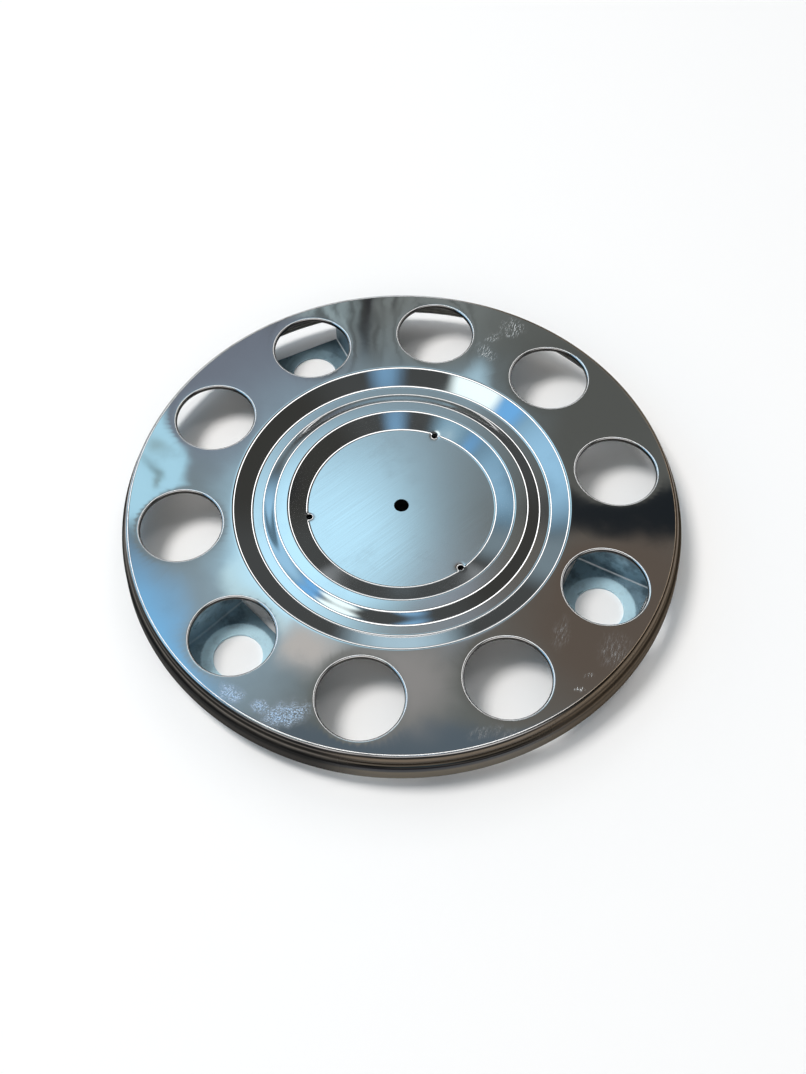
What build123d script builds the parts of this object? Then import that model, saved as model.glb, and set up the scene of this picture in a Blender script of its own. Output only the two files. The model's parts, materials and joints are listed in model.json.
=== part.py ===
from build123d import *
import os

# A truck wheel simulator: a polished cover for the hub and the nuts of a ten-stud wheel.
# One disc is pressed from stainless sheet, with a nut hole over every stud. Three strip brackets,
# welded under its face, go on three of the studs and carry it. All sizes are in millimetres.
# The cover lies face up, as on a bench. The origin is on the wheel's axis, level with the undersides
# of the brackets, +Z points out of the wheel, and +X passes through the middle of one nut hole.

# Wheel
STUD_COUNT = 10
PITCH_RADIUS = 167.5

# Sheet
SHEET = 1.0
FACE_HEIGHT = 36.0

# Nut holes, each with its edge rolled down into a lip
NUT_HOLE_RADIUS = 30.7
LIP_ROLL = 2.0
LIP_DEPTH = 3.0

# Lands that the face leaves inside and outside the nut holes
INNER_LAND = 6.8
OUTER_LAND = 9.0

# Pressed middle, from the face inwards: widths across each step, and heights from one level to the next
GROOVE_SLOPE_WIDTH = 14.0
GROOVE_DEPTH = 7.6
GROOVE_WIDTH = 8.2
RING_SLOPE_WIDTH = 9.5
RING_RISE = 3.4
RING_WIDTH = 9.7
CENTRE_SLOPE_WIDTH = 14.4
CENTRE_DROP = 6.6
FOLD_RADIUS = 5.0

# Holes in the recessed centre
CENTRE_HOLE_RADIUS = 5.75
CAP_HOLE_COUNT = 3
CAP_HOLE_RADIUS = 2.5
CAP_HOLE_INSET = 1.2
CAP_HOLE_ANGLE = 60.0

# Skirt, from the face outwards and down
CORNER_RADIUS = 3.0
SHOULDER_WIDTH = 1.5
SHOULDER_DROP = 9.1
LEDGE_WIDTH = 2.5
LEDGE_DROP = 0.7
SKIRT_FLARE = 1.5
SKIRT_DROP = 14.7
RETURN_WIDTH = 3.5
SKIRT_FOLD = 1.5

# Brackets, numbered by the studs that they go on, anticlockwise from +X
BRACKET_STUDS = (3, 6, 9)
STRIP = 2.0
STRIP_WIDTH = 59.5
STRIP_INSET = 2.2
STRIP_BEND = 1.5
STRIP_CORNER = 3.0
FLANGE_LENGTH = 18.0
STUD_HOLE_RADIUS = 18.3
LIP_CLEARANCE = 1.5

# Sizes that follow
STUD_STEP = 360 / STUD_COUNT
LIP_RADIUS = NUT_HOLE_RADIUS + LIP_ROLL
FACE_INNER_RADIUS = PITCH_RADIUS - LIP_RADIUS - INNER_LAND
GROOVE_OUTER_RADIUS = FACE_INNER_RADIUS - GROOVE_SLOPE_WIDTH
GROOVE_INNER_RADIUS = GROOVE_OUTER_RADIUS - GROOVE_WIDTH
RING_OUTER_RADIUS = GROOVE_INNER_RADIUS - RING_SLOPE_WIDTH
RING_INNER_RADIUS = RING_OUTER_RADIUS - RING_WIDTH
CENTRE_RADIUS = RING_INNER_RADIUS - CENTRE_SLOPE_WIDTH
GROOVE_HEIGHT = FACE_HEIGHT - GROOVE_DEPTH
RING_HEIGHT = GROOVE_HEIGHT + RING_RISE
CENTRE_HEIGHT = RING_HEIGHT - CENTRE_DROP
FACE_OUTER_RADIUS = PITCH_RADIUS + LIP_RADIUS + OUTER_LAND
SHOULDER_RADIUS = FACE_OUTER_RADIUS + SHOULDER_WIDTH
SHOULDER_HEIGHT = FACE_HEIGHT - SHOULDER_DROP
LEDGE_RADIUS = SHOULDER_RADIUS + LEDGE_WIDTH
LEDGE_HEIGHT = SHOULDER_HEIGHT - LEDGE_DROP
RIM_RADIUS = LEDGE_RADIUS + SKIRT_FLARE
RIM_HEIGHT = LEDGE_HEIGHT - SKIRT_DROP


def sheet_section(start, folds, end, thickness):
    """The cut face of a bent sheet: a line with rounded folds, thickened to its right."""
    points = [start] + [point for point, radius in folds] + [end]
    radii = [radius for point, radius in folds]
    line = FilletPolyline(*points, radius=radii)
    return make_face(offset(line, amount=thickness, side=Side.RIGHT).edges())


def pressed_disc():
    """The disc's section, turned about the wheel's axis."""
    folds = [
        ((CENTRE_RADIUS, CENTRE_HEIGHT), FOLD_RADIUS),
        ((RING_INNER_RADIUS, RING_HEIGHT), FOLD_RADIUS),
        ((RING_OUTER_RADIUS, RING_HEIGHT), FOLD_RADIUS),
        ((GROOVE_INNER_RADIUS, GROOVE_HEIGHT), FOLD_RADIUS),
        ((GROOVE_OUTER_RADIUS, GROOVE_HEIGHT), FOLD_RADIUS),
        ((FACE_INNER_RADIUS, FACE_HEIGHT), FOLD_RADIUS),
        ((FACE_OUTER_RADIUS, FACE_HEIGHT), CORNER_RADIUS),
        ((SHOULDER_RADIUS, SHOULDER_HEIGHT), SKIRT_FOLD),
        ((LEDGE_RADIUS, LEDGE_HEIGHT), SKIRT_FOLD),
        ((RIM_RADIUS, RIM_HEIGHT), SKIRT_FOLD),
    ]
    middle = (0, CENTRE_HEIGHT)
    turned_in_edge = (RIM_RADIUS - RETURN_WIDTH, RIM_HEIGHT)
    section = sheet_section(middle, folds, turned_in_edge, SHEET)
    return revolve(Plane.XZ * section, axis=Axis.Z)


def nut_hole_lip():
    """The rolled edge of one nut hole, about the hole's own axis."""
    roll = CenterArc((LIP_RADIUS, FACE_HEIGHT - LIP_ROLL), LIP_ROLL, start_angle=90, arc_size=90)
    wall = Line(roll @ 1, (NUT_HOLE_RADIUS, FACE_HEIGHT - LIP_DEPTH))
    section = make_face(offset(roll + wall, amount=SHEET, side=Side.LEFT).edges())
    return revolve(Plane.XZ * section, axis=Axis.Z)


def through_hole(radius):
    """A round cutter as tall as the cover."""
    return extrude(Circle(radius), amount=FACE_HEIGHT)


def cover_disc():
    """The pressed disc with its nut holes and the holes in its centre."""
    studs = PolarLocations(PITCH_RADIUS, STUD_COUNT)
    cap_holes = PolarLocations(CENTRE_RADIUS - CAP_HOLE_INSET, CAP_HOLE_COUNT, CAP_HOLE_ANGLE)
    disc = pressed_disc()
    disc -= studs * through_hole(LIP_RADIUS)
    disc += studs * nut_hole_lip()
    disc -= through_hole(CENTRE_HOLE_RADIUS)
    disc -= cap_holes * through_hole(CAP_HOLE_RADIUS)
    return disc


def stud_bracket(stud):
    """One strip, bent to a hat: a plate on the stud, two walls, and two flanges under the face."""
    half_span = NUT_HOLE_RADIUS + SHEET + LIP_CLEARANCE
    flange_height = FACE_HEIGHT - SHEET
    outer_bend = STRIP_BEND + STRIP
    folds = [
        ((-half_span, flange_height), outer_bend),
        ((-half_span, STRIP), STRIP_BEND),
        ((half_span, STRIP), STRIP_BEND),
        ((half_span, flange_height), outer_bend),
    ]
    flange_start = (-half_span - FLANGE_LENGTH, flange_height)
    flange_end = (half_span + FLANGE_LENGTH, flange_height)
    section = sheet_section(flange_start, folds, flange_end, STRIP)
    strip_middle = PITCH_RADIUS - STRIP_INSET
    across = Plane.YZ.offset(strip_middle - STRIP_WIDTH / 2)
    strip = extrude(across * section, amount=STRIP_WIDTH)
    flange_corners = strip.edges().filter_by(Axis.Z).group_by(SortBy.LENGTH)[0]
    strip = fillet(flange_corners, STRIP_CORNER)
    strip -= Pos(PITCH_RADIUS, 0) * through_hole(STUD_HOLE_RADIUS)
    return Rot(0, 0, stud * STUD_STEP) * strip


os.makedirs("parts", exist_ok=True)
export_step(cover_disc(), "parts/cover_disc.step")
for number, stud in enumerate(BRACKET_STUDS, start=1):
    export_step(stud_bracket(stud), f"parts/stud_bracket_{number}.step")
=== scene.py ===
import json
from math import cos, pi, radians, sin, tan

import bmesh
import bpy
from bpy.props import FloatProperty, FloatVectorProperty, PointerProperty
from mathutils import Matrix, Vector

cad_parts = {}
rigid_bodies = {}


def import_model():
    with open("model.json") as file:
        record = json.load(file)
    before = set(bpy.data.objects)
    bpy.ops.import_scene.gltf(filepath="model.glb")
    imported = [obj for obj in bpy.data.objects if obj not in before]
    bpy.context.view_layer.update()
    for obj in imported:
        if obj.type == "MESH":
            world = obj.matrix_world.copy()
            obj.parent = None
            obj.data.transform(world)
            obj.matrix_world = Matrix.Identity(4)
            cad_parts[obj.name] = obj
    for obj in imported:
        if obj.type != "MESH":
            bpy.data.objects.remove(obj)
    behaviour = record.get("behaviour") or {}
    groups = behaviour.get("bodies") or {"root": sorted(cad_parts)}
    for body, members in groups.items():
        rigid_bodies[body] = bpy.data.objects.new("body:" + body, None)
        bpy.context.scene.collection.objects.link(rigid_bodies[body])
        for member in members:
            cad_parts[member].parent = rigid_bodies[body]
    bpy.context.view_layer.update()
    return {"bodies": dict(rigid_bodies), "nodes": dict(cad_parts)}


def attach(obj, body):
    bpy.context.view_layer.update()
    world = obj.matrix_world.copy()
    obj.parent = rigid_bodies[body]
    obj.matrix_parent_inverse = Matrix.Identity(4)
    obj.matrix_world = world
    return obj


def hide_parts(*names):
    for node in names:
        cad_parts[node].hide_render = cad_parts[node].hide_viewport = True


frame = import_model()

bl_info = {
    "name": "Wheel cover looks",
    "version": (1, 0, 0),
    "blender": (4, 5, 0),
    "location": "View3D > Sidebar > Wheel cover",
    "description": "Polished sheet, zinc strip, spot welds and a studio for a pressed wheel cover",
    "category": "Object",
}

BODY = "root"
DISC = "cover_disc"
BRACKETS = ("stud_bracket_1", "stud_bracket_2", "stud_bracket_3")
BRACKET_STUDS = (3, 6, 9)
STUD_HOLE_RADIUS = 0.0183
STUD_COUNT = 10
STUD_STEP = radians(36)
PITCH_RADIUS = 0.1675
NUT_HOLE_RADIUS = 0.0307
LIP_ROLL = 0.002
LIP_RADIUS = NUT_HOLE_RADIUS + LIP_ROLL
LIP_DEPTH = 0.003
FACE_HEIGHT = 0.036
SHEET = 0.001
FLANGE_BOTTOM = 0.033
STRIP_MIDDLE = 0.1653

# Corners of the disc's section, with the radius of each fold: radius, height, fold.
# The flat face lies between the two lines.
MIDDLE_LINE = (
    (0.00575, 0.0252, 0.0), (0.0660, 0.0252, 0.0), (0.0722, 0.0252, 0.005), (0.0770, 0.0274, 0.0),
    (0.0866, 0.0318, 0.005), (0.0963, 0.0318, 0.005), (0.1058, 0.0284, 0.005), (0.1140, 0.0284, 0.005),
    (0.1280, 0.0360, 0.005), (0.1305, 0.0360, 0.0),
)
SKIRT_LINE = (
    (0.2060, 0.0360, 0.0), (0.2092, 0.0360, 0.003), (0.2107, 0.0269, 0.0015), (0.2132, 0.0262, 0.0015),
    (0.2147, 0.0115, 0.0015), (0.2112, 0.0115, 0.0),
)
CAP_HOLES = (radians(60), radians(180), radians(300))
CAP_HOLE_CIRCLE = 0.0710
CAP_HOLE_RADIUS = 0.0025

# How finely the round forms are cut, and how exactly their points are matched.
DISC_STEPS = 240
LIP_STEPS = 96
FOLD_STEPS = 8
CAP_HOLE_STEPS = 32
WELD_STEPS = 28
FLOOR_STEPS = 64
SHARP_ANGLE = radians(40)
MERGE_DISTANCE = 1e-6
FACE_TOLERANCE = 1e-5

# A weld mark: widths of its rim and of the slope inside it, as shares of its radius, and the depth of its
# dent, as a share of its height.
WELD_RIM, WELD_SLOPE, WELD_DENT = 0.35, 0.2, 0.6

# Zones of the disc. Each pair holds the two radii between which the zone begins.
MIDDLE_ZONE = (0.1250, 0.1150)
CENTRE_ZONE = (0.0730, 0.0700)
SKIRT_ZONE = (0.2064, 0.2068)
# The slope outside the raised ring, which the crown presses deeper: the radii of its top and its foot.
RING_SLOPE = (0.0970, 0.1050)
# The painted shade on the wall of a nut hole's lip begins this far inside the edge of the flat face.
LIP_ZONE = (-0.0013, -0.0016)
# How far the dishing at a nut hole and at a cap hole reaches, and the height of the brushed grain.
DISH_REACH = 0.004
CAP_DISH_REACH = 0.0009
GRAIN_HEIGHT = 0.000004

# The studio is laid out as the camera sees it: x to the right, y away from the camera.
STUDIO_TURN = radians(7.7365)

# Soft panels on the studio's dome, later ones in front. Places are on a round map of the dome, with the
# zenith at its middle and the horizon at radius 1: name, colour, centre, radii, turn in degrees, softness.
# Their edges are uneven by a noise: its scale, reach and detail.
DOME_COLOUR = (0.075, 0.080, 0.080)
PANEL_EDGES = (95.0, 0.011, 4.0)
DOME_PANELS = (
    ("front wall", (0.92, 0.88, 0.85), (0.00, -0.76), (0.75, 0.48), 0, 0.15),
    ("right wall", (0.68, 0.66, 0.64), (1.00, 0.05), (0.45, 0.62), 0, 0.20),
    ("room on the right", (0.052, 0.052, 0.048), (0.35, 0.14), (0.20, 0.30), 0, 0.35),
    ("near sky", (0.20, 0.35, 0.47), (-0.30, 0.24), (0.12, 0.28), 0, 0.45),
    ("sky", (0.41, 0.73, 1.00), (-0.50, 0.12), (0.17, 0.36), 0, 0.35),
    ("deep sky", (0.21, 0.55, 1.00), (-0.29, -0.01), (0.05, 0.05), 0, 0.60),
    ("window post", (0.12, 0.22, 0.30), (-0.440, 0.230), (0.028, 0.110), -8, 0.50),
    ("window frame", (0.26, 0.46, 0.60), (-0.190, -0.050), (0.070, 0.040), -34, 0.60),
    ("window", (1.25, 1.45, 1.46), (-0.207, -0.082), (0.074, 0.035), -34, 0.30),
    ("overhead strip", (0.24, 0.46, 0.70), (0.028, -0.125), (0.050, 0.034), -45, 0.80),
    ("top lamp", (2.10, 2.08, 2.06), (0.000, -0.020), (0.130, 0.028), 0, 0.30),
    ("upper corner", (0.22, 0.29, 0.33), (-0.34, 0.58), (0.08, 0.09), 0, 0.60),
    ("far wall", (0.52, 0.72, 0.84), (0.00, 0.95), (0.17, 0.10), 0, 0.45),
    ("back window", (0.80, 0.86, 0.90), (0.00, 0.685), (0.20, 0.050), 0, 0.35),
    ("ceiling", (0.165, 0.180, 0.172), (-0.005, 0.300), (0.165, 0.130), 0, 0.22),
    ("right ceiling", (0.115, 0.120, 0.112), (0.095, 0.345), (0.050, 0.050), -20, 0.70),
    ("top ceiling", (0.235, 0.260, 0.255), (0.000, 0.405), (0.045, 0.030), 0, 0.60),
    ("purple ceiling", (0.21, 0.24, 0.295), (-0.075, 0.355), (0.045, 0.040), 30, 0.45),
    ("pale curtain", (0.36, 0.45, 0.47), (-0.035, 0.392), (0.014, 0.014), 0, 0.50),
    ("curtain edge", (0.03, 0.03, 0.034), (-0.017, 0.393), (0.0035, 0.020), -6, 0.60),
    ("left haze", (0.30, 0.40, 0.46), (-0.082, 0.245), (0.038, 0.052), 0, 0.60),
    ("pale pane", (0.62, 0.83, 0.88), (-0.064, 0.262), (0.019, 0.019), 0, 0.20),
    ("ceiling glow", (0.34, 0.48, 0.57), (-0.025, 0.325), (0.060, 0.036), 15, 0.80),
    ("middle glow", (0.74, 1.20, 1.46), (-0.034, 0.284), (0.042, 0.040), -8, 0.55),
    ("warm patch", (0.62, 0.59, 0.56), (-0.044, 0.236), (0.017, 0.010), -20, 0.70),
    ("lower glow", (0.34, 0.39, 0.45), (0.022, 0.258), (0.018, 0.020), 0, 0.80),
    ("glow wedge", (0.48, 0.70, 0.82), (0.036, 0.357), (0.006, 0.010), -28, 0.80),
    ("left edge", (0.52, 0.87, 1.05), (-0.122, 0.318), (0.022, 0.030), 0, 0.15),
    ("branch", (0.17, 0.26, 0.27), (-0.116, 0.316), (0.0064, 0.0015), -40, 0.70),
    ("twig", (0.26, 0.38, 0.40), (-0.1135, 0.3095), (0.0018, 0.0040), 0, 0.80),
    ("leaves", (0.32, 0.48, 0.52), (-0.1130, 0.3255), (0.0050, 0.0030), 0, 0.80),
    ("blue edge", (0.25, 0.60, 0.98), (-0.118, 0.225), (0.026, 0.050), 21, 0.60),
    ("slate front", (0.115, 0.150, 0.180), (0.005, 0.182), (0.095, 0.0215), -3, 0.22),
    ("pale front", (0.34, 0.33, 0.32), (0.000, 0.222), (0.020, 0.018), 0, 0.80),
    ("brown front", (0.135, 0.108, 0.088), (0.100, 0.245), (0.060, 0.050), 10, 0.55),
    ("dark doorway", (0.016, 0.020, 0.024), (0.135, 0.2915), (0.075, 0.0140), -4, 0.25),
)
# Folds of a curtain on the same map: centre, radii, and the width and length of one fold.
CURTAIN = ((-0.012, 0.395), (0.045, 0.032), (0.0045, 0.060))
CURTAIN_COLOUR = (0.060, 0.062, 0.060)
# Rings on the same map, which only the folds of the disc catch in the camera's view: name, colour, centre,
# radii, half-width.
DOME_RINGS = (
    ("ring lamp's shade", (0.022, 0.025, 0.030), (0.00, 0.30), (0.326, 0.310), 0.085),
    ("ring lamp", (2.36, 2.34, 2.32), (0.00, 0.30), (0.250, 0.2375), 0.25),
)
# The rings are whole up to the first of these places, and beyond the second only this share of them is left.
RING_FRONT, RING_BACK, RING_BACK_SHARE = 0.42, 0.52, 0.75
# A pale band along the horizon, which fades out between two heights on a dome of radius 1. It is raised all
# round the studio, except at the back: the two places between which it comes down.
HORIZON_COLOUR = (0.97, 0.98, 0.98)
HORIZON_TOP = (0.10, 0.06)
HORIZON_RAISE = 0.12
HORIZON_BACK = (0.75, 0.55)

# The floor: its colour under the face, paler there as painted light, and under the middle, dark there as a
# painted shadow, and the distances at which its zones begin.
FLOOR_PAINTED_LIGHT = (0.97, 0.97, 0.97)
FLOOR_PAINTED_SHADOW = (0.05, 0.05, 0.05)
UNDER_FACE = (0.215, 0.205)
UNDER_MIDDLE = (0.13, 0.08)
OPEN_FLOOR = (0.23, 0.36)
FAR_FLOOR = (0.4, 1.2)
FLOOR_RADIUS = 30.0
FLOOR_DROP = 0.0002

# Painted reflection on the skirt, in bands from its bottom edge up to the face, at its front, left and right:
# height, colour.
FRONT_PAINTED_REFLECTION = (
    (0.0110, (0.070, 0.058, 0.038)), (0.0145, (0.085, 0.068, 0.043)), (0.0180, (0.090, 0.072, 0.046)),
    (0.0208, (0.115, 0.092, 0.060)), (0.0228, (0.022, 0.024, 0.030)), (0.0262, (0.010, 0.011, 0.014)),
    (0.0268, (0.150, 0.130, 0.105)), (0.0274, (0.020, 0.017, 0.013)), (0.0284, (0.150, 0.115, 0.080)),
    (0.0298, (0.035, 0.028, 0.021)), (0.0318, (0.150, 0.113, 0.078)), (0.0338, (0.170, 0.130, 0.090)),
    (0.0346, (0.022, 0.022, 0.022)), (0.0353, (0.020, 0.020, 0.021)), (0.0357, (0.730, 0.735, 0.740)),
)
LEFT_PAINTED_REFLECTION = (
    (0.0110, (0.026, 0.024, 0.022)), (0.0190, (0.040, 0.037, 0.034)), (0.0225, (0.012, 0.012, 0.012)),
    (0.0264, (0.009, 0.009, 0.009)), (0.0271, (0.160, 0.145, 0.130)), (0.0280, (0.048, 0.043, 0.038)),
    (0.0294, (0.012, 0.012, 0.011)), (0.0314, (0.024, 0.021, 0.018)), (0.0325, (0.150, 0.135, 0.120)),
    (0.0336, (0.016, 0.015, 0.015)), (0.0350, (0.010, 0.011, 0.012)), (0.0355, (0.730, 0.735, 0.740)),
)
RIGHT_PAINTED_REFLECTION = (
    (0.0110, (0.100, 0.076, 0.054)), (0.0150, (0.070, 0.053, 0.037)), (0.0190, (0.120, 0.092, 0.064)),
    (0.0235, (0.062, 0.047, 0.033)), (0.0258, (0.130, 0.099, 0.070)), (0.0267, (0.042, 0.032, 0.022)),
    (0.0281, (0.180, 0.138, 0.098)), (0.0293, (0.110, 0.083, 0.058)), (0.0306, (0.046, 0.035, 0.024)),
    (0.0322, (0.130, 0.099, 0.070)), (0.0340, (0.190, 0.146, 0.104)), (0.0358, (0.120, 0.091, 0.065)),
    (0.0360, (0.180, 0.138, 0.100)),
)
# Where the left and right bands of painted reflection take over from the front's, and where they are matt:
# places along X, and the heights at which the matt part ends.
LEFT_REFLECTION_ZONE = (-0.045, -0.090)
RIGHT_REFLECTION_ZONE = (0.04, 0.12)
LEFT_MATT = (-0.050, -0.095)
MATT_TOP = (0.0348, 0.0340)
# Colour of the streaks in the skirt's painted reflection.
REFLECTION_STREAK_COLOUR = (0.045, 0.040, 0.034)
# Colour of the painted shade on the wall of a nut hole's lip.
LIP_WALL_SHADE = (0.050, 0.048, 0.046)

# Marks of use on the face: centre, radii, turn in degrees.
RESIDUE = (
    ((-0.1399, -0.1428), (0.008, 0.006), -40), ((-0.1040, -0.1640), (0.014, 0.008), 4),
    ((-0.1190, -0.1560), (0.006, 0.004), -20),
)
FLECKS = (
    ((0.1162, 0.1552), (0.010, 0.008), 25), ((0.0899, 0.1326), (0.005, 0.010), 30),
    ((0.0987, 0.1470), (0.005, 0.004), 0), ((0.1074, -0.1658), (0.003, 0.002), 0),
    ((0.0987, -0.1760), (0.003, 0.002), 0),
)
SMEARS = (
    ((0.0959, -0.1311), (0.005, 0.012), -25), ((0.1298, -0.1497), (0.010, 0.012), -30),
    ((0.0285, -0.1967), (0.012, 0.004), 8), ((0.0445, -0.2010), (0.010, 0.003), 12),
)
MARK_SOFTNESS = 0.6
RESIDUE_COLOUR = (0.27, 0.49, 0.78)
FLECK_COLOUR = (0.78, 0.80, 0.78)
SMEAR_COLOUR = (0.50, 0.51, 0.53)
SMUDGED_STEEL = (0.66, 0.665, 0.67)
# The unpolished underside, which varies between these two colours, is darker than bare steel: painted shade
# under the cover.
UNDERSIDE_DARK = (0.22, 0.225, 0.215)
UNDERSIDE_PALE = (0.33, 0.335, 0.32)

# Zinc of the brackets, and the heights at which a bracket's wall and the painted highlight along its bend
# begin.
ZINC_STAIN = (0.13, 0.19, 0.25)
# Rubbed zinc, partly worn bright and partly painted light; the painted highlight along a bend; and dull zinc,
# partly stained and partly painted shade.
RUBBED_AND_LIT_ZINC = (0.62, 0.88, 0.97)
BEND_HIGHLIGHT = (0.88, 0.93, 0.95)
DARK_CRYSTAL, DULL_AND_SHADED_ZINC = 0.70, 0.22
STRIP_WALL = (0.0030, 0.0060)
BEND_BOTTOM = (0.0021, 0.0024)
BEND_TOP = (0.0036, 0.0030)
# The ring that the wheel nut rubs bright, which is also painted lit, ends this far from the stud hole.
RUBBED_AND_LIT_RING = (0.0098, 0.0078)


class CoverFinish(bpy.types.PropertyGroup):
    """Finish of the pressed disc."""

    steel: FloatVectorProperty(
        name="Steel", description="Colour of the polished sheet", subtype="COLOR",
        default=(0.73, 0.735, 0.74), min=0, max=1)
    polish: FloatProperty(
        name="Polish", description="Roughness of the mirror polish", default=0.03, min=0, max=1)
    middle_polish: FloatProperty(
        name="Middle polish", description="Roughness of the stepped middle", default=0.07, min=0, max=1)
    centre_polish: FloatProperty(
        name="Centre polish", description="Roughness of the brushed centre", default=0.13, min=0, max=1)
    inside_polish: FloatProperty(
        name="Inside polish", description="Roughness of the unpolished underside", default=0.38, min=0, max=1)
    warp: FloatProperty(
        name="Warp", description="Height of the slow waves in the sheet", unit="LENGTH", default=0.0004)
    dish: FloatProperty(
        name="Dish", description="How far the sheet is drawn down at a nut hole", unit="LENGTH",
        default=0.00003)
    crown: FloatProperty(
        name="Crown", description="How much deeper the ring's slope is pressed at its foot", unit="LENGTH",
        default=0.00040)
    cap_dish: FloatProperty(
        name="Cap hole dish", description="How far the sheet is drawn down at a cap hole", unit="LENGTH",
        default=0.0002)


class BracketFinish(bpy.types.PropertyGroup):
    """Finish of the strip brackets."""

    zinc: FloatVectorProperty(
        name="Zinc", description="Colour of the zinc", subtype="COLOR",
        default=(0.50, 0.76, 0.92), min=0, max=1)
    spangle: FloatProperty(
        name="Spangle", description="Width of one zinc crystal", unit="LENGTH", default=0.006)


class WeldSizes(bpy.types.PropertyGroup):
    """Sizes of the spot welds under the bracket flanges."""

    radius: FloatProperty(
        name="Radius", description="Radius of a weld mark", unit="LENGTH", default=0.0034)
    height: FloatProperty(
        name="Height", description="Height of a weld mark", unit="LENGTH", default=0.0003)
    spread: FloatProperty(
        name="Spread", description="Half the distance between two welds on a flange", unit="LENGTH",
        default=0.017)
    reach: FloatProperty(
        name="Reach", description="Distance of the welds from the bracket's middle", unit="LENGTH",
        default=0.0430)


class StudioSetup(bpy.types.PropertyGroup):
    """Floor, lamp and camera."""

    floor: FloatVectorProperty(
        name="Floor", description="Colour of the floor", subtype="COLOR",
        default=(0.88, 0.88, 0.88), min=0, max=1)
    floor_white: FloatProperty(
        name="Floor white", description="Share of plain white in the open floor", subtype="FACTOR",
        default=0.5)
    lamp_power: FloatProperty(
        name="Lamp power", description="Power of the lamp", unit="POWER", default=56.0)
    lamp_colour: FloatVectorProperty(
        name="Lamp colour", description="Colour of the lamp's light", subtype="COLOR",
        default=(1.0, 0.97, 0.94))
    lamp_size: FloatProperty(
        name="Lamp size", description="Width of the lamp", unit="LENGTH", default=1.0)
    lamp_distance: FloatProperty(
        name="Lamp distance", description="Distance of the lamp", unit="LENGTH", default=3.0)
    lamp_azimuth: FloatProperty(
        name="Lamp azimuth", description="Direction of the lamp round the studio", subtype="ANGLE",
        default=radians(165))
    lamp_height: FloatProperty(
        name="Lamp height", description="Angle of the lamp above the horizon", subtype="ANGLE",
        default=radians(64))
    lens: FloatProperty(
        name="Lens", description="Focal length in millimetres", default=39.177)
    camera_distance: FloatProperty(
        name="Camera distance", description="Distance of the camera from its target", unit="LENGTH",
        default=0.8704)
    camera_height: FloatProperty(
        name="Camera height", description="Angle of the camera above the horizon", subtype="ANGLE",
        default=radians(58.0985))
    camera_roll: FloatProperty(
        name="Camera roll", description="Roll of the camera", subtype="ANGLE", default=radians(-0.6624))
    target: FloatVectorProperty(
        name="Target", description="Point the camera looks at, in the studio's directions", unit="LENGTH",
        default=(0.000935, -0.03543, 0.036))


class CoverSettings(bpy.types.PropertyGroup):
    """All settings of the wheel cover."""

    disc: PointerProperty(type=CoverFinish)
    brackets: PointerProperty(type=BracketFinish)
    welds: PointerProperty(type=WeldSizes)
    studio: PointerProperty(type=StudioSetup)


class Wire:
    """A shader socket. Sums, differences, products and quotients of wires add Math nodes."""

    def __init__(self, socket):
        self.socket = socket

    @classmethod
    def node(cls, tree, kind, settings=None, inputs=None, output=0):
        """Adds a node, with its settings first and then the values or wires of its sockets."""
        made = tree.nodes.new(kind)
        for name, value in (settings or {}).items():
            if name == "stops":
                set_stops(made.color_ramp, value)
            else:
                setattr(made, name, value)
        for name, value in (inputs or {}).items():
            if isinstance(value, Wire):
                tree.links.new(value.socket, made.inputs[name])
            else:
                made.inputs[name].default_value = value
        if not made.outputs:
            return None
        if isinstance(output, tuple):
            return tuple(cls(made.outputs[name]) for name in output)
        return cls(made.outputs[output])

    @property
    def tree(self):
        return self.socket.id_data

    def math(self, operation, first, second=None):
        inputs = {0: first} if second is None else {0: first, 1: second}
        return Wire.node(self.tree, "ShaderNodeMath", {"operation": operation}, inputs)

    def __add__(self, other):
        return self.math("ADD", self, other)

    def __radd__(self, other):
        return self.math("ADD", other, self)

    def __sub__(self, other):
        return self.math("SUBTRACT", self, other)

    def __rsub__(self, other):
        return self.math("SUBTRACT", other, self)

    def __mul__(self, other):
        return self.math("MULTIPLY", self, other)

    def __rmul__(self, other):
        return self.math("MULTIPLY", other, self)

    def __truediv__(self, other):
        return self.math("DIVIDE", self, other)

    def __rtruediv__(self, other):
        return self.math("DIVIDE", other, self)

    def __pow__(self, other):
        return self.math("POWER", self, other)

    def smooth(self, low, high):
        """0 at low, 1 at high, with an even start and end."""
        inputs = {"Value": self, "From Min": low, "From Max": high}
        return Wire.node(self.tree, "ShaderNodeMapRange", {"interpolation_type": "SMOOTHSTEP"}, inputs)

    def greater(self, other):
        return self.math("MAXIMUM", self, other)


def set_stops(ramp, stops):
    """Gives a colour ramp its stops, each a place and a colour."""
    while len(ramp.elements) < len(stops):
        ramp.elements.new(1.0)
    for element, (place, colour) in zip(ramp.elements, stops):
        element.position = place
        element.color = opaque(colour)


def mix(factor, first, second):
    """One colour or the other, by a factor."""
    inputs = {0: factor, 6: opaque(first), 7: opaque(second)}
    return Wire.node(factor.tree, "ShaderNodeMix", {"data_type": "RGBA"}, inputs, output=2)


def opaque(colour):
    return colour if isinstance(colour, Wire) else (*colour, 1)


def noise(place, scale, detail=2.0, roughness=0.5):
    inputs = {"Vector": place, "Scale": scale, "Detail": detail, "Roughness": roughness}
    return Wire.node(place.tree, "ShaderNodeTexNoise", inputs=inputs)


def parts(vector):
    """The x, y and z of a vector."""
    return Wire.node(vector.tree, "ShaderNodeSeparateXYZ", inputs={"Vector": vector}, output=(0, 1, 2))


def moved(place, centre=(0, 0, 0), turn=0.0, size=(1, 1, 1)):
    """A place seen from a centre, turned about Z and measured in units of size."""
    inputs = {"Vector": place, "Location": centre, "Rotation": (0, 0, turn), "Scale": size}
    return Wire.node(place.tree, "ShaderNodeMapping", {"vector_type": "TEXTURE"}, inputs)


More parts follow.
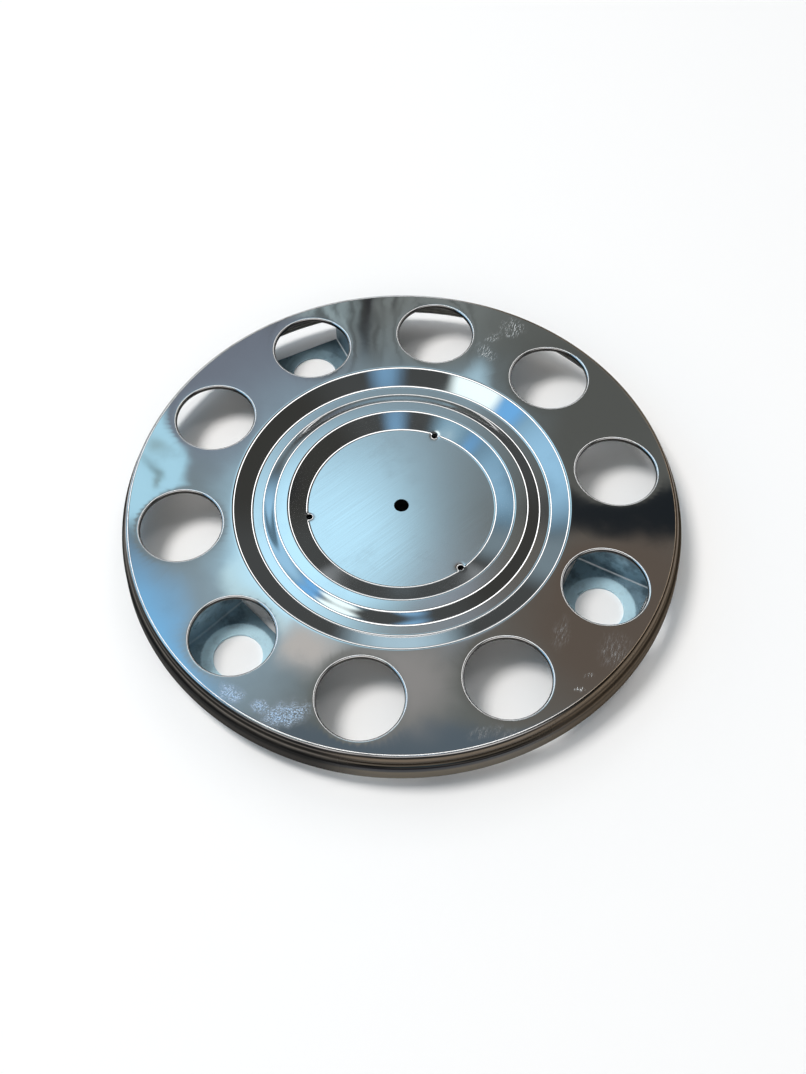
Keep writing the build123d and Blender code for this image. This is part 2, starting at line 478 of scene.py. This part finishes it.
def length(vector):
    settings = {"operation": "LENGTH"}
    return Wire.node(vector.tree, "ShaderNodeVectorMath", settings, {0: vector}, output="Value")


def bumped(height):
    """A normal that is turned by a height in metres."""
    inputs = {"Strength": 1.0, "Distance": 1.0, "Height": height}
    return Wire.node(height.tree, "ShaderNodeBump", inputs=inputs)


def round_patch(place, centre, radii, turn, soft):
    """1 inside an ellipse, 0 outside, with a soft edge."""
    distance = length(moved(place, (*centre, 0), turn, (*radii, 1)))
    return distance.smooth(1 + soft, 1 - soft)


def ragged(place, scale, reach, detail=2.0):
    """A place pushed about by noise, for uneven edges."""
    inputs = {"Vector": place, "Scale": scale, "Detail": detail}
    push = Wire.node(place.tree, "ShaderNodeTexNoise", inputs=inputs, output="Color")
    shift = Wire.node(place.tree, "ShaderNodeVectorMath", {"operation": "MULTIPLY_ADD"},
                      {0: push, 1: (reach, reach, 0), 2: (-reach / 2, -reach / 2, 0)})
    return Wire.node(place.tree, "ShaderNodeVectorMath", {"operation": "ADD"}, {0: place, 1: shift})


def marks(place, spots):
    """1 in each of some soft round spots."""
    masks = [round_patch(place, centre, radii, radians(turn), MARK_SOFTNESS) for centre, radii, turn in spots]
    found = masks[0]
    for mask in masks[1:]:
        found = found.greater(mask)
    return found


def new_material(name):
    material = bpy.data.materials.new(name)
    material.use_nodes = True
    material.node_tree.nodes.clear()
    return material


def finish_material(tree, shader):
    Wire.node(tree, "ShaderNodeOutputMaterial", inputs={"Surface": shader})


def give_material(node, material):
    mesh = frame["nodes"][node].data
    mesh.materials.clear()
    mesh.materials.append(material)


def hole_gap(x, y, radius, first, step, circle, hole):
    """How far a place is from the edge of the nearest of some holes on a circle."""
    angle = x.math("ARCTAN2", y, x) - first
    nearest = x.math("ROUND", angle / step)
    turn = angle - nearest * step
    along = radius * x.math("COSINE", turn) - circle
    across = radius * x.math("SINE", turn)
    return (along * along + across * across) ** 0.5 - hole


def painted_reflection_bands(height, painted_skirt):
    """Colour of the bands of painted reflection at a height."""
    low, high = painted_skirt[0][0], painted_skirt[-1][0]
    stops = [((level - low) / (high - low), colour) for level, colour in painted_skirt]
    share = (height - low) / (high - low)
    return Wire.node(height.tree, "ShaderNodeValToRGB", {"stops": stops}, {"Fac": share})


def painted_skirt_reflection(place, x, z):
    """Painted reflection on the skirt: bands along it, streaked, that change from left to right."""
    height = z + (noise(place, scale=14.0) - 0.5) * 0.0010
    streak_place = moved(place, size=(0.02, 0.02, 0.0008))
    streaks = noise(streak_place, scale=1.0, detail=3.0, roughness=0.6).smooth(0.45, 0.75)
    bands = mix(x.smooth(*LEFT_REFLECTION_ZONE), painted_reflection_bands(height, FRONT_PAINTED_REFLECTION), painted_reflection_bands(height, LEFT_PAINTED_REFLECTION))
    bands = mix(x.smooth(*RIGHT_REFLECTION_ZONE), bands, painted_reflection_bands(height, RIGHT_PAINTED_REFLECTION))
    return mix(streaks * 0.4, bands, REFLECTION_STREAK_COLOUR)


def polished_steel(finish):
    """Mirror-polished stainless sheet, satin in its middle, with painted reflection on its skirt, painted
    shade on the walls of its nut holes' lips, and unpolished underneath, with painted shade there.
    """
    material = new_material("polished_stainless")
    tree = material.node_tree
    place = Wire.node(tree, "ShaderNodeTexCoord", output="Object")
    settings = {"attribute_type": "GEOMETRY", "attribute_name": "inside"}
    inside = Wire.node(tree, "ShaderNodeAttribute", settings, output="Fac")
    x, y, z = parts(place)
    flat_place = Wire.node(tree, "ShaderNodeCombineXYZ", inputs={0: x, 1: y})
    radius = length(flat_place)
    nut_gap = hole_gap(x, y, radius, 0.0, STUD_STEP, PITCH_RADIUS, LIP_RADIUS)
    cap_step = CAP_HOLES[1] - CAP_HOLES[0]
    cap_gap = hole_gap(x, y, radius, CAP_HOLES[0], cap_step, CAP_HOLE_CIRCLE, CAP_HOLE_RADIUS)

    middle = radius.smooth(*MIDDLE_ZONE)
    centre = radius.smooth(*CENTRE_ZONE)
    smudge = noise(place, scale=26.0, detail=4.0, roughness=0.6).smooth(0.52, 0.74)
    haze = noise(place, scale=9.0).smooth(0.45, 0.75)
    brushed_place = moved(flat_place, turn=radians(32), size=(0.06, 0.0011, 1))
    brush = noise(brushed_place, scale=1.0, roughness=0.6)
    crumb_place = moved(place, size=(1.6, 1, 1))
    crumbs = noise(crumb_place, scale=1300.0, detail=4.0, roughness=0.7).smooth(0.40, 0.66)
    chip_place = moved(place, turn=radians(60), size=(0.0050, 0.0011, 1))
    chips = noise(chip_place, scale=1.0, detail=3.0, roughness=0.65).smooth(0.50, 0.64)
    wiped_place = moved(place, turn=radians(-28), size=(0.0010, 0.0060, 1))
    wipes = noise(wiped_place, scale=1.0, detail=4.0, roughness=0.65).smooth(0.42, 0.72)
    marked_place = ragged(flat_place, scale=120.0, reach=0.010, detail=3.0)
    residue = marks(marked_place, RESIDUE) * crumbs
    flecks = marks(marked_place, FLECKS) * chips
    smears = marks(marked_place, SMEARS) * wipes
    # The skirt, which carries the painted reflection, and its matt left and right parts.
    painted_skirt = radius.smooth(*SKIRT_ZONE)
    lip_shade = nut_gap.smooth(*LIP_ZONE)
    matt_side = x.smooth(*LEFT_MATT).greater(x.smooth(*RIGHT_REFLECTION_ZONE))
    matt_painted_skirt = painted_skirt * matt_side * z.smooth(*MATT_TOP)
    drawn_place = moved(place, size=(0.004, 0.004, 0.02))
    drawn = noise(drawn_place, scale=1.0, detail=3.0, roughness=0.6)

    colour = mix(smudge * 0.5, finish.steel, SMUDGED_STEEL)
    colour = mix(smears * 0.2, colour, SMEAR_COLOUR)
    colour = mix(flecks * 0.4, colour, FLECK_COLOUR)
    colour = mix(residue * 0.85, colour, RESIDUE_COLOUR)
    # The skirt's painted reflection, the painted shade on the lip walls, and the underside, darkened partly
    # as painted shade.
    colour = mix(painted_skirt, colour, painted_skirt_reflection(place, x, z))
    colour = mix(lip_shade, colour, LIP_WALL_SHADE)
    colour = mix(inside, colour, mix(drawn, UNDERSIDE_DARK, UNDERSIDE_PALE))
    roughness = finish.polish + smudge * 0.025 + haze * 0.015
    roughness = roughness + middle * (finish.middle_polish - finish.polish)
    roughness = roughness + centre * (finish.centre_polish - finish.middle_polish + (brush - 0.5) * 0.10)
    roughness = roughness + residue * 0.40 + flecks * 0.30 + smears * 0.15 + painted_skirt * 0.10 + matt_painted_skirt * 0.30
    roughness = roughness * (1 - inside) + inside * (finish.inside_polish + (drawn - 0.5) * 0.1)
    metallic = 1 - (residue * 0.60 + flecks * 0.30 + smears * 0.12 + matt_painted_skirt * 0.85)

    warp = (noise(place, scale=7.0, detail=1.0) - 0.5) * finish.warp
    dish = x.math("EXPONENT", nut_gap / -DISH_REACH) * -finish.dish
    cap_dish = x.math("EXPONENT", cap_gap / -CAP_DISH_REACH) * -finish.cap_dish
    crown = radius.smooth(*RING_SLOPE) * -finish.crown
    grain = (brush - 0.5) * centre * GRAIN_HEIGHT
    normal = bumped(warp + dish + cap_dish + crown + grain)
    shader = Wire.node(tree, "ShaderNodeBsdfPrincipled", inputs={
        "Base Color": colour, "Metallic": metallic, "Roughness": roughness, "Specular IOR Level": 0.0,
        "Normal": normal})
    finish_material(tree, shader)
    return material


def zinc_strip(finish):
    """Galvanised strip: spangled and stained, dulled partly by painted shade, rubbed bright and painted lit
    round its stud hole, with a painted highlight along its bends.
    """
    material = new_material("galvanised_strip")
    tree = material.node_tree
    place = Wire.node(tree, "ShaderNodeTexCoord", output="Object")
    x, y, height = parts(place)
    radius = length(Wire.node(tree, "ShaderNodeCombineXYZ", inputs={0: x, 1: y}))
    stud_gap = hole_gap(x, y, radius, 0.0, STUD_STEP, PITCH_RADIUS, STUD_HOLE_RADIUS)
    cells = Wire.node(tree, "ShaderNodeTexVoronoi", {"feature": "F1"},
                      {"Vector": place, "Scale": 1 / finish.spangle, "Randomness": 1.0}, output="Color")
    crystal = parts(cells)[0]
    grain = noise(place, scale=900.0, detail=3.0, roughness=0.7)
    stain = noise(place, scale=55.0, detail=5.0, roughness=0.65).smooth(0.45, 0.70)
    # The ring round the stud hole is partly rubbed by the nuts and partly painted light: strongest on the
    # front brackets, and on the right one more on its outer side.
    kept_and_unlit_side = x.smooth(0.05, 0.10) * (1 - x.smooth(0.120, 0.155))
    wear_and_light = (0.12 + y.smooth(0.10, -0.05) * 0.88) * (1 - kept_and_unlit_side * 0.75)
    rubbed_and_lit = (stud_gap + (grain - 0.5) * 0.003).smooth(*RUBBED_AND_LIT_RING) * wear_and_light * (1 - stain * 0.4)
    wall = height.smooth(*STRIP_WALL)
    bend = height.smooth(*BEND_BOTTOM) * height.smooth(*BEND_TOP)
    pale = tuple(finish.zinc)
    dark = tuple(DARK_CRYSTAL * channel for channel in pale)
    dull_and_shaded = tuple(DULL_AND_SHADED_ZINC * channel for channel in pale)
    colour = mix(crystal * 0.4 + grain * 0.6, dark, pale)
    colour = mix(stain * (0.6 - rubbed_and_lit * 0.45), colour, ZINC_STAIN)
    # Painted shade: the back bracket is the darkest, and all that is not rubbed is dulled, partly by stains;
    # the left one has the weakest painted highlight on its bend.
    dullness_and_shade = (0.50 + stain * 0.45).greater(y.smooth(0.05, 0.14) * 0.80)
    colour = mix((1 - rubbed_and_lit).greater(wall) * dullness_and_shade, colour, dull_and_shaded)
    colour = mix(rubbed_and_lit * (1 - wall) * (0.45 + grain * 0.5), colour, RUBBED_AND_LIT_ZINC)
    colour = mix(bend * (0.15 + x.smooth(-0.12, -0.06) * 0.70), colour, BEND_HIGHLIGHT)
    roughness = 0.27 + crystal * 0.08 + stain * 0.12
    normal = bumped(grain * 0.00002 + crystal * 0.00001)
    shader = Wire.node(tree, "ShaderNodeBsdfPrincipled", inputs={
        "Base Color": colour, "Metallic": 0.4 - rubbed_and_lit * 0.35, "Roughness": roughness, "Normal": normal})
    finish_material(tree, shader)
    return material


def folded_line(shape, corners):
    """A line through the corners, with each fold rounded."""
    line = [shape.verts.new((radius, 0, height)) for radius, height, fold in corners]
    for start, end in zip(line, line[1:]):
        shape.edges.new((start, end))
    for vert, (radius, height, fold) in zip(line, corners):
        if fold:
            before, after = (edge.other_vert(vert).co - vert.co for edge in vert.link_edges)
            turn = pi - before.angle(after)
            bmesh.ops.bevel(shape, geom=[vert], offset=fold * tan(turn / 2), offset_type="OFFSET",
                            affect="VERTICES", segments=FOLD_STEPS, profile=0.5, material=-1)


def spun(shape, geometry, centre, steps):
    """Turns a line all the way round an upright axis."""
    bmesh.ops.spin(shape, geom=geometry, cent=centre, axis=(0, 0, 1), angle=2 * pi, steps=steps,
                   use_merge=True)


def nut_hole_lip(shape, stud):
    """The rolled edge of one nut hole."""
    towards = Matrix.Rotation(stud * STUD_STEP, 3, "Z")
    hole = towards @ Vector((PITCH_RADIUS, 0, 0))
    top = shape.verts.new(hole + Vector((LIP_RADIUS, 0, FACE_HEIGHT)))
    roll_centre = hole + Vector((LIP_RADIUS, 0, FACE_HEIGHT - LIP_ROLL))
    roll = bmesh.ops.spin(shape, geom=[top], cent=roll_centre, axis=(0, -1, 0), angle=pi / 2,
                          steps=FOLD_STEPS)
    bottom = next(item for item in roll["geom_last"] if isinstance(item, bmesh.types.BMVert))
    wall = bmesh.ops.extrude_vert_indiv(shape, verts=[bottom])
    bmesh.ops.translate(shape, verts=wall["verts"], vec=(0, 0, LIP_ROLL - LIP_DEPTH))
    points = [vert for vert in shape.verts if not vert.link_faces]
    line = [edge for edge in shape.edges if edge.is_wire]
    spun(shape, points + line, hole, LIP_STEPS)


def cap_hole(shape, angle, heights):
    """A small round hole through the fold at the edge of the centre."""
    hole = Vector((cos(angle), sin(angle), 0)) * CAP_HOLE_CIRCLE
    reach = 2 * CAP_HOLE_RADIUS
    near = [face for face in shape.faces if (face.calc_center_median().xy - hole.xy).length < reach]
    cut = set(near)
    around = [edge for face in near for edge in face.edges if not cut.issuperset(edge.link_faces)]
    bmesh.ops.delete(shape, geom=near, context="FACES")
    ring = bmesh.ops.create_circle(shape, segments=CAP_HOLE_STEPS, radius=CAP_HOLE_RADIUS,
                                   matrix=Matrix.Translation(hole))
    for vert in ring["verts"]:
        radius = vert.co.xy.length
        spans = zip(heights, heights[1:])
        start, end = next(span for span in spans if span[0][0] <= radius <= span[1][0])
        share = (radius - start[0]) / (end[0] - start[0])
        vert.co.z = start[1] + share * (end[1] - start[1])
    rim = [edge for edge in shape.edges if edge.is_wire]
    bmesh.ops.triangle_fill(shape, use_beauty=True, edges=around + rim, normal=(0, 0, 1))


def pressed_disc():
    """The disc spun from its section, with its nut holes and cap holes, one sheet thick."""
    shape = bmesh.new()
    inside = shape.faces.layers.float.new("inside")
    folded_line(shape, MIDDLE_LINE)
    heights = sorted((vert.co.x, vert.co.z) for vert in shape.verts)
    folded_line(shape, SKIRT_LINE)
    spun(shape, [*shape.verts, *shape.edges], (0, 0, 0), DISC_STEPS)
    for stud in range(STUD_COUNT):
        nut_hole_lip(shape, stud)
    bmesh.ops.remove_doubles(shape, verts=shape.verts, dist=MERGE_DISTANCE)
    face_level = FACE_HEIGHT - FACE_TOLERANCE
    face_edges = [edge for edge in shape.edges
                  if edge.is_boundary and all(vert.co.z > face_level for vert in edge.verts)]
    bmesh.ops.triangle_fill(shape, use_beauty=True, edges=face_edges, normal=(0, 0, 1))
    for angle in CAP_HOLES:
        cap_hole(shape, angle, heights)
    bmesh.ops.recalc_face_normals(shape, faces=shape.faces)
    top = max(shape.faces, key=lambda face: face.calc_area())
    if top.normal.z < 0:
        bmesh.ops.reverse_faces(shape, faces=shape.faces)
    outside = list(shape.faces)
    bmesh.ops.solidify(shape, geom=outside, thickness=SHEET)
    for face in shape.faces:
        face.smooth = True
        face[inside] = 1.0
    for face in outside:
        face[inside] = 0.0
    for edge in shape.edges:
        edge.smooth = edge.calc_face_angle(0) < SHARP_ANGLE
    return shape


def weld_marks(sizes, stud):
    """Four pressed rings, two under each flange of one bracket."""
    shape = bmesh.new()
    turn = Matrix.Rotation(stud * STUD_STEP, 4, "Z")
    for side in (-1, 1):
        for end in (-1, 1):
            spot = turn @ Vector((STRIP_MIDDLE + end * sizes.spread, side * sizes.reach, FLANGE_BOTTOM))
            made = bmesh.ops.create_circle(shape, cap_ends=True, segments=WELD_STEPS, radius=sizes.radius,
                                           matrix=Matrix.Translation(spot))
            face = made["verts"][0].link_faces[0]
            raised = bmesh.ops.extrude_face_region(shape, geom=[face])
            bottom = next(item for item in raised["geom"] if isinstance(item, bmesh.types.BMFace))
            bmesh.ops.translate(shape, verts=bottom.verts, vec=(0, 0, -sizes.height))
            bmesh.ops.inset_region(shape, faces=[bottom], thickness=sizes.radius * WELD_RIM)
            bmesh.ops.inset_region(shape, faces=[bottom], thickness=sizes.radius * WELD_SLOPE)
            bmesh.ops.translate(shape, verts=bottom.verts, vec=(0, 0, sizes.height * WELD_DENT))
    bmesh.ops.recalc_face_normals(shape, faces=shape.faces)
    return shape


def new_object(name, shape, material):
    """An object of the finished shape."""
    mesh = bpy.data.meshes.new(name)
    shape.to_mesh(mesh)
    shape.free()
    mesh.materials.append(material)
    made = bpy.data.objects.new(name, mesh)
    bpy.context.scene.collection.objects.link(made)
    return made


def new_piece(name, shape, material):
    """A new object that rides on the part."""
    piece = new_object(name, shape, material)
    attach(piece, BODY)
    return piece


def lay_floor(studio):
    """A wide pale floor under the brackets, seen white and keeping the shadows, with painted light under the
    face and a painted shadow under the middle.
    """
    material = new_material("pale_floor")
    tree = material.node_tree
    rays = Wire.node(tree, "ShaderNodeLightPath",
                     output=("Is Camera Ray", "Is Glossy Ray", "Is Transmission Ray"))
    seen = rays[0].greater(rays[1]).greater(rays[2])
    distance = length(Wire.node(tree, "ShaderNodeTexCoord", output="Object"))
    # Painted light on the floor under the face, and a painted shadow under the middle.
    colour = mix(distance.smooth(*UNDER_FACE), tuple(studio.floor), FLOOR_PAINTED_LIGHT)
    colour = mix(distance.smooth(*UNDER_MIDDLE), colour, FLOOR_PAINTED_SHADOW)
    matt = Wire.node(tree, "ShaderNodeBsdfDiffuse", inputs={"Color": colour})
    white = Wire.node(tree, "ShaderNodeEmission", inputs={"Color": (1, 1, 1, 1), "Strength": 1.0})
    share = (distance.smooth(*OPEN_FLOOR) * studio.floor_white).greater(distance.smooth(*FAR_FLOOR))
    shader = Wire.node(tree, "ShaderNodeMixShader", inputs={0: seen * share, 1: matt, 2: white})
    finish_material(tree, shader)
    shape = bmesh.new()
    bmesh.ops.create_circle(shape, cap_ends=True, segments=FLOOR_STEPS, radius=FLOOR_RADIUS)
    floor = new_object("floor", shape, material)
    floor.location.z = -FLOOR_DROP


def hang_dome(scene):
    """The studio's dome: soft panels of sky, wall and ceiling."""
    world = bpy.data.worlds.new("studio_dome")
    world.use_nodes = True
    tree = world.node_tree
    tree.nodes.clear()
    direction = Wire.node(tree, "ShaderNodeTexCoord", output="Generated")
    x, y, z = parts(moved(direction, turn=-STUDIO_TURN))
    place = Wire.node(tree, "ShaderNodeCombineXYZ", inputs={0: x / (1 + z), 1: y / (1 + z)})
    ragged_place = ragged(place, *PANEL_EDGES)
    colour = DOME_COLOUR
    for name, panel, centre, radii, turn, soft in DOME_PANELS:
        mask = round_patch(ragged_place, centre, radii, radians(turn), soft)
        mask.socket.node.label = name
        colour = mix(mask, colour, panel)
    centre, radii, fold = CURTAIN
    fold_place = moved(ragged_place, size=(*fold, 1))
    folds = noise(fold_place, scale=1.0, detail=3.0, roughness=0.6).smooth(0.48, 0.66)
    colour = mix(round_patch(place, centre, radii, 0, 0.5) * folds * 0.8, colour, CURTAIN_COLOUR)
    towards_front = parts(place)[1].smooth(RING_BACK, RING_FRONT)
    ring_share = RING_BACK_SHARE + towards_front * (1 - RING_BACK_SHARE)
    for name, ring, centre, radii, half_width in DOME_RINGS:
        off = x.math("ABSOLUTE", length(moved(place, (*centre, 0), size=(*radii, 1))) - 1)
        mask = off.smooth(half_width, half_width * 0.7) * ring_share
        mask.socket.node.label = name
        colour = mix(mask, colour, ring)
    raised = y.smooth(*HORIZON_BACK) * HORIZON_RAISE
    colour = mix((z - raised).smooth(*HORIZON_TOP), colour, HORIZON_COLOUR)
    background = Wire.node(tree, "ShaderNodeBackground", inputs={"Color": colour, "Strength": 1.0})
    Wire.node(tree, "ShaderNodeOutputWorld", inputs={"Surface": background})
    scene.world = world


def hang_lamp(scene, studio):
    """One round lamp, high on the left and a little behind the cover."""
    lamp = bpy.data.lights.new("lamp", "AREA")
    lamp.shape = "DISK"
    lamp.size = studio.lamp_size
    lamp.energy = studio.lamp_power
    lamp.color = studio.lamp_colour
    turn, height = studio.lamp_azimuth - STUDIO_TURN, studio.lamp_height
    towards = Vector((cos(turn) * cos(height), sin(turn) * cos(height), sin(height)))
    holder = bpy.data.objects.new("lamp", lamp)
    holder.location = towards * studio.lamp_distance
    holder.rotation_euler = towards.to_track_quat("Z", "Y").to_euler()
    holder.visible_glossy = False
    scene.collection.objects.link(holder)


def stand_camera(scene, studio):
    """The camera in front of the cover, looking down on it."""
    camera = bpy.data.cameras.new("camera")
    camera.lens = studio.lens
    camera.sensor_width = 36.0
    camera.clip_start = 0.01
    holder = bpy.data.objects.new("camera", camera)
    to_part = Matrix.Rotation(-STUDIO_TURN, 4, "Z")
    tilt = Matrix.Rotation(pi / 2 - studio.camera_height, 4, "X")
    roll = Matrix.Rotation(studio.camera_roll, 4, "Z")
    back = Matrix.Translation((0, 0, studio.camera_distance))
    holder.matrix_world = to_part @ Matrix.Translation(studio.target) @ tilt @ roll @ back
    scene.collection.objects.link(holder)
    scene.camera = holder


class WHEELCOVER_OT_disc(bpy.types.Operator):
    """Make the polished disc"""

    bl_idname = "wheel_cover.disc"
    bl_label = "Make the disc"

    def execute(self, context):
        material = polished_steel(context.scene.wheel_cover.disc)
        piece = new_piece("polished_disc", pressed_disc(), material)
        even = piece.modifiers.new("even_normals", "WEIGHTED_NORMAL")
        even.keep_sharp = True
        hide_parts(DISC)
        return {"FINISHED"}


class WHEELCOVER_OT_brackets(bpy.types.Operator):
    """Galvanise the three strip brackets"""

    bl_idname = "wheel_cover.brackets"
    bl_label = "Galvanise the brackets"

    def execute(self, context):
        material = zinc_strip(context.scene.wheel_cover.brackets)
        for node in BRACKETS:
            give_material(node, material)
        return {"FINISHED"}


class WHEELCOVER_OT_welds(bpy.types.Operator):
    """Add the spot welds under the bracket flanges"""

    bl_idname = "wheel_cover.welds"
    bl_label = "Add the spot welds"

    def execute(self, context):
        material = frame["nodes"][BRACKETS[0]].data.materials[0]
        for number, stud in enumerate(BRACKET_STUDS, start=1):
            shape = weld_marks(context.scene.wheel_cover.welds, stud)
            new_piece(f"spot_welds_{number}", shape, material)
        return {"FINISHED"}


class WHEELCOVER_OT_stage(bpy.types.Operator):
    """Set up the floor, the lights and the camera"""

    bl_idname = "wheel_cover.stage"
    bl_label = "Set the stage"

    def execute(self, context):
        studio = context.scene.wheel_cover.studio
        context.scene.view_settings.view_transform = "Standard"
        lay_floor(studio)
        hang_dome(context.scene)
        hang_lamp(context.scene, studio)
        stand_camera(context.scene, studio)
        return {"FINISHED"}


class WHEELCOVER_PT_panel(bpy.types.Panel):
    """Steps that dress the wheel cover"""

    bl_idname = "WHEELCOVER_PT_panel"
    bl_label = "Wheel cover"
    bl_space_type = "VIEW_3D"
    bl_region_type = "UI"
    bl_category = "Wheel cover"

    def draw(self, context):
        for step in STEPS:
            self.layout.operator(step.bl_idname)


STEPS = (WHEELCOVER_OT_disc, WHEELCOVER_OT_brackets, WHEELCOVER_OT_welds, WHEELCOVER_OT_stage)
CLASSES = (CoverFinish, BracketFinish, WeldSizes, StudioSetup, CoverSettings, *STEPS, WHEELCOVER_PT_panel)


def register():
    for kind in CLASSES:
        bpy.utils.register_class(kind)
    bpy.types.Scene.wheel_cover = PointerProperty(type=CoverSettings)


def unregister():
    del bpy.types.Scene.wheel_cover
    for kind in reversed(CLASSES):
        bpy.utils.unregister_class(kind)


def clear_start_objects():
    """Removes what a new file starts with, and keeps the frame."""
    kept = set(frame["nodes"].values()) | set(frame["bodies"].values())
    for item in list(bpy.data.objects):
        if item not in kept:
            bpy.data.objects.remove(item)


def main():
    clear_start_objects()
    register()
    bpy.ops.wheel_cover.disc()
    bpy.ops.wheel_cover.brackets()
    bpy.ops.wheel_cover.welds()
    bpy.ops.wheel_cover.stage()


if __name__ == "__main__":
    main()
